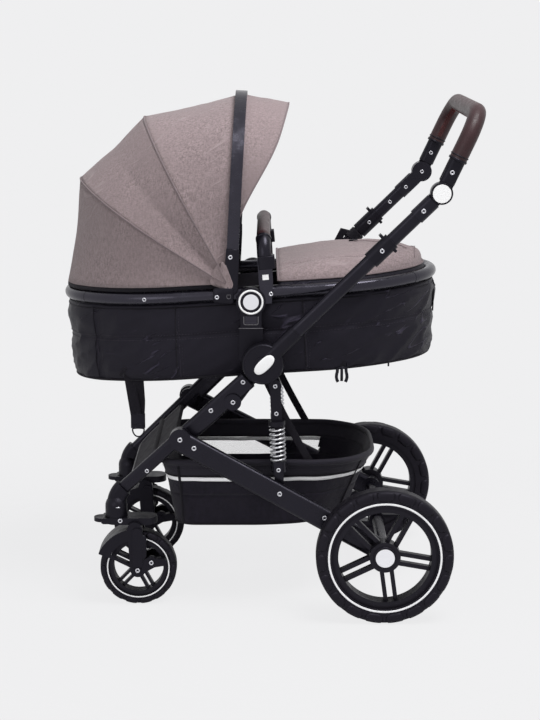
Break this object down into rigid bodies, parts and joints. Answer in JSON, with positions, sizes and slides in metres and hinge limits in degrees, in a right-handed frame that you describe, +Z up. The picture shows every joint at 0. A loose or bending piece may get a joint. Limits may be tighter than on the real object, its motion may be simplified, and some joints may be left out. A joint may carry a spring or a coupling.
{
  "type": "bassinet pram",
  "caption": "Baby pram: fabric bassinet with folding hood and apron on a sprung black folding frame, large rear wheels, swivel front casters, leather-wrapped push handle and bumper bar.",
  "frame": {"origin": "on the floor under the middle of the bounding box", "axes": "+X towards the push handle, +Y across the pram, +Z up"},
  "size_m": [0.9007, 0.62, 1.1072],
  "materials": {
    "frame_black": "satin black powder coat",
    "black_plastic": "fine-grained black moulding",
    "rim_black": "semi-gloss black moulding",
    "tyre": "matt black foam tyre",
    "spring_steel": "bright plated spring wire",
    "silver_cap": "bright plated cap",
    "white_cap": "white gloss moulding",
    "leather": "dark brown stitched leather",
    "cot_fabric": "black woven cloth",
    "basket_fabric": "black cloth and mesh",
    "hood_fabric": "mauve grey melange cloth",
    "apron_fabric": "mauve grey melange cloth",
    "mattress_fabric": "white quilted cloth"
  },
  "bodies": {
    "chassis": {"hinge_bracket_left": "black_plastic", "hinge_bracket_right": "black_plastic", "basket": "basket_fabric"},
    "front_frame": {"front_leg_left": "frame_black", "front_leg_right": "frame_black", "caster_housing_left": "black_plastic", "caster_housing_right": "black_plastic", "footboard": "black_plastic"},
    "rear_frame": {"rear_leg_left": "frame_black", "rear_leg_right": "frame_black", "rear_axle": "frame_black"},
    "brake": {"brake_pedal": "black_plastic"},
    "handle": {"handle_arm_left": "black_plastic", "handle_arm_right": "black_plastic", "handle_tube_left": "frame_black", "handle_tube_right": "frame_black"},
    "grip": {"grip_bracket_left": "black_plastic", "grip_bracket_right": "black_plastic", "handle_grip": "leather"},
    "cot": {"cot_rail": "frame_black", "cot_body": "cot_fabric", "mattress": "mattress_fabric", "cot_adapter_left": "black_plastic", "cot_adapter_right": "black_plastic", "hood_fabric": "hood_fabric", "apron": "apron_fabric"},
    "hood_rear": {"hood_rib_rear": "black_plastic"},
    "hood_mid": {"hood_rib_mid": "black_plastic"},
    "hood_front": {"hood_bow": "black_plastic"},
    "bumper": {"bumper_bar": "leather"},
    "caster_left": {"caster_fork_left": "black_plastic"},
    "front_wheel_left": {"front_rim_left": "rim_black", "front_tyre_left": "tyre"},
    "swivel_lock_left": {"caster_lock_left": "black_plastic"},
    "rear_wheel_left": {"rear_rim_left": "rim_black", "rear_tyre_left": "tyre", "rear_hub_cap_left": "silver_cap"},
    "strut_left": {"strut_tube_left": "black_plastic", "spring_left": "spring_steel"},
    "strut_rod_left": {"strut_rod_left": "black_plastic"},
    "slider_left": {"fold_slider_left": "black_plastic"},
    "joint_button_left": {"joint_button_left": "white_cap"},
    "hub_button_left": {"hub_button_left": "silver_cap"},
    "release_left": {"release_lever_left": "black_plastic"},
    "bumper_button_left": {"bumper_button_left": "white_cap"},
    "caster_right": {"caster_fork_right": "black_plastic"},
    "front_wheel_right": {"front_rim_right": "rim_black", "front_tyre_right": "tyre"},
    "swivel_lock_right": {"caster_lock_right": "black_plastic"},
    "rear_wheel_right": {"rear_rim_right": "rim_black", "rear_tyre_right": "tyre", "rear_hub_cap_right": "silver_cap"},
    "strut_right": {"strut_tube_right": "black_plastic", "spring_right": "spring_steel"},
    "strut_rod_right": {"strut_rod_right": "black_plastic"},
    "slider_right": {"fold_slider_right": "black_plastic"},
    "joint_button_right": {"joint_button_right": "white_cap"},
    "hub_button_right": {"hub_button_right": "silver_cap"},
    "release_right": {"release_lever_right": "black_plastic"},
    "bumper_button_right": {"bumper_button_right": "white_cap"}
  },
  "joints": [
    {"name": "handle_fold", "type": "hinge", "parent": "chassis", "child": "handle", "pos_m": [-0.0116, 0, 0.55], "axis": [0, -1, 0], "range_deg": [0, 150], "deforming": ["basket"]},
    {"name": "leg_fold", "type": "hinge", "parent": "chassis", "child": "front_frame", "pos_m": [-0.07511, 0, 0.46303], "axis": [0, -1, 0], "range_deg": [0, 60]},
    {"name": "rear_fold", "type": "hinge", "parent": "front_frame", "child": "rear_frame", "pos_m": [-0.18851, 0, 0.38094], "axis": [0, -1, 0], "range_deg": [-28.7, 0]},
    {"name": "strut_swing_left", "type": "hinge", "parent": "chassis", "child": "strut_left", "pos_m": [0.0144, -0.21, 0.497], "axis": [0, -1, 0], "range_deg": [0, 43.7]},
    {"name": "strut_swing_right", "type": "hinge", "parent": "chassis", "child": "strut_right", "pos_m": [0.0144, 0.21, 0.497], "axis": [0, -1, 0], "range_deg": [0, 43.7]},
    {"name": "caster_swivel_left", "type": "hinge", "parent": "front_frame", "child": "caster_left", "pos_m": [-0.3316, -0.167, 0.198], "axis": [0, 0, 1], "continuous": true},
    {"name": "front_wheel_spin_left", "type": "hinge", "parent": "caster_left", "child": "front_wheel_left", "pos_m": [-0.2846, -0.167, 0.0835], "axis": [0, 1, 0], "continuous": true},
    {"name": "lock_flip_left", "type": "hinge", "parent": "caster_left", "child": "swivel_lock_left", "pos_m": [-0.3576, -0.167, 0.1902], "axis": [0, 1, 0], "range_deg": [0, 12]},
    {"name": "rear_wheel_spin_left", "type": "hinge", "parent": "rear_frame", "child": "rear_wheel_left", "pos_m": [0.2464, -0.288, 0.146], "axis": [0, 1, 0], "continuous": true},
    {"name": "strut_travel_left", "type": "slide", "parent": "strut_left", "child": "strut_rod_left", "axis": [-0.0422, 0, 0.9991], "range_m": [0, 0.012], "stiffness_N_per_m": 6000, "deforming": ["spring_left"]},
    {"name": "slider_lift_left", "type": "slide", "parent": "handle", "child": "slider_left", "axis": [0.7157, 0, 0.6984], "range_m": [0, 0.016], "stiffness_N_per_m": 400, "springref_m": -0.004},
    {"name": "caster_swivel_right", "type": "hinge", "parent": "front_frame", "child": "caster_right", "pos_m": [-0.3316, 0.167, 0.198], "axis": [0, 0, 1], "continuous": true},
    {"name": "front_wheel_spin_right", "type": "hinge", "parent": "caster_right", "child": "front_wheel_right", "pos_m": [-0.2846, 0.167, 0.0835], "axis": [0, 1, 0], "continuous": true},
    {"name": "lock_flip_right", "type": "hinge", "parent": "caster_right", "child": "swivel_lock_right", "pos_m": [-0.3576, 0.167, 0.1902], "axis": [0, 1, 0], "range_deg": [0, 12]},
    {"name": "rear_wheel_spin_right", "type": "hinge", "parent": "rear_frame", "child": "rear_wheel_right", "pos_m": [0.2464, 0.288, 0.146], "axis": [0, 1, 0], "continuous": true},
    {"name": "strut_travel_right", "type": "slide", "parent": "strut_right", "child": "strut_rod_right", "axis": [-0.0422, 0, 0.9991], "range_m": [0, 0.012], "stiffness_N_per_m": 6000, "deforming": ["spring_right"]},
    {"name": "slider_lift_right", "type": "slide", "parent": "handle", "child": "slider_right", "axis": [0.7157, 0, 0.6984], "range_m": [0, 0.016], "stiffness_N_per_m": 400, "springref_m": -0.004},
    {"name": "brake_press", "type": "hinge", "parent": "rear_frame", "child": "brake", "pos_m": [0.2464, 0, 0.146], "axis": [0, 1, 0], "range_deg": [0, 20]},
    {"name": "handle_tilt", "type": "hinge", "parent": "handle", "child": "grip", "pos_m": [0.35627, 0, 0.90899], "axis": [0, 1, 0], "range_deg": [-20, 45]},
    {"name": "joint_press_left", "type": "slide", "parent": "grip", "child": "joint_button_left", "axis": [0, 1, 0], "range_m": [0, 0.003], "stiffness_N_per_m": 800},
    {"name": "joint_press_right", "type": "slide", "parent": "grip", "child": "joint_button_right", "axis": [0, -1, 0], "range_m": [0, 0.003], "stiffness_N_per_m": 800},
    {"name": "cot_lift", "type": "slide", "parent": "chassis", "child": "cot", "axis": [0, 0, 1], "range_m": [0, 0.12]},
    {"name": "hub_press_left", "type": "slide", "parent": "cot", "child": "hub_button_left", "axis": [0, 1, 0], "range_m": [0, 0.003], "stiffness_N_per_m": 800},
    {"name": "release_pull_left", "type": "slide", "parent": "cot", "child": "release_left", "axis": [0, 0, 1], "range_m": [0, 0.006], "stiffness_N_per_m": 600, "springref_m": -0.002},
    {"name": "hub_press_right", "type": "slide", "parent": "cot", "child": "hub_button_right", "axis": [0, -1, 0], "range_m": [0, 0.003], "stiffness_N_per_m": 800},
    {"name": "release_pull_right", "type": "slide", "parent": "cot", "child": "release_right", "axis": [0, 0, 1], "range_m": [0, 0.006], "stiffness_N_per_m": 600, "springref_m": -0.002},
    {"name": "hood_fold", "type": "hinge", "parent": "cot", "child": "hood_rear", "pos_m": [-0.07892, 0, 0.70512], "axis": [0, -1, 0], "range_deg": [0, 20], "deforming": ["hood_fabric"]},
    {"name": "hood_mid_fold", "type": "hinge", "parent": "hood_rear", "child": "hood_mid", "pos_m": [-0.07892, 0, 0.70512], "axis": [0, -1, 0], "range_deg": [0, 20]},
    {"name": "hood_bow_fold", "type": "hinge", "parent": "hood_mid", "child": "hood_front", "pos_m": [-0.07892, 0, 0.70512], "axis": [0, -1, 0], "range_deg": [0, 20]},
    {"name": "bumper_lift", "type": "slide", "parent": "cot", "child": "bumper", "axis": [-0.0593, 0, 0.9982], "range_m": [0, 0.06]},
    {"name": "bumper_press_left", "type": "slide", "parent": "cot", "child": "bumper_button_left", "axis": [0, 1, 0], "range_m": [0, 0.0024], "stiffness_N_per_m": 800},
    {"name": "bumper_press_right", "type": "slide", "parent": "cot", "child": "bumper_button_right", "axis": [0, -1, 0], "range_m": [0, 0.0024], "stiffness_N_per_m": 800}
  ],
  "couplings": [
    {"joint": "leg_fold", "follows": "handle_fold", "ratio": 0.4},
    {"joint": "rear_fold", "follows": "handle_fold", "ratio": -0.1908},
    {"joint": "strut_swing_left", "follows": "handle_fold", "ratio": 0.2905},
    {"joint": "strut_swing_right", "follows": "handle_fold", "ratio": 0.2905},
    {"joint": "hood_mid_fold", "follows": "hood_fold", "ratio": 1},
    {"joint": "hood_bow_fold", "follows": "hood_fold", "ratio": 1}
  ]
}
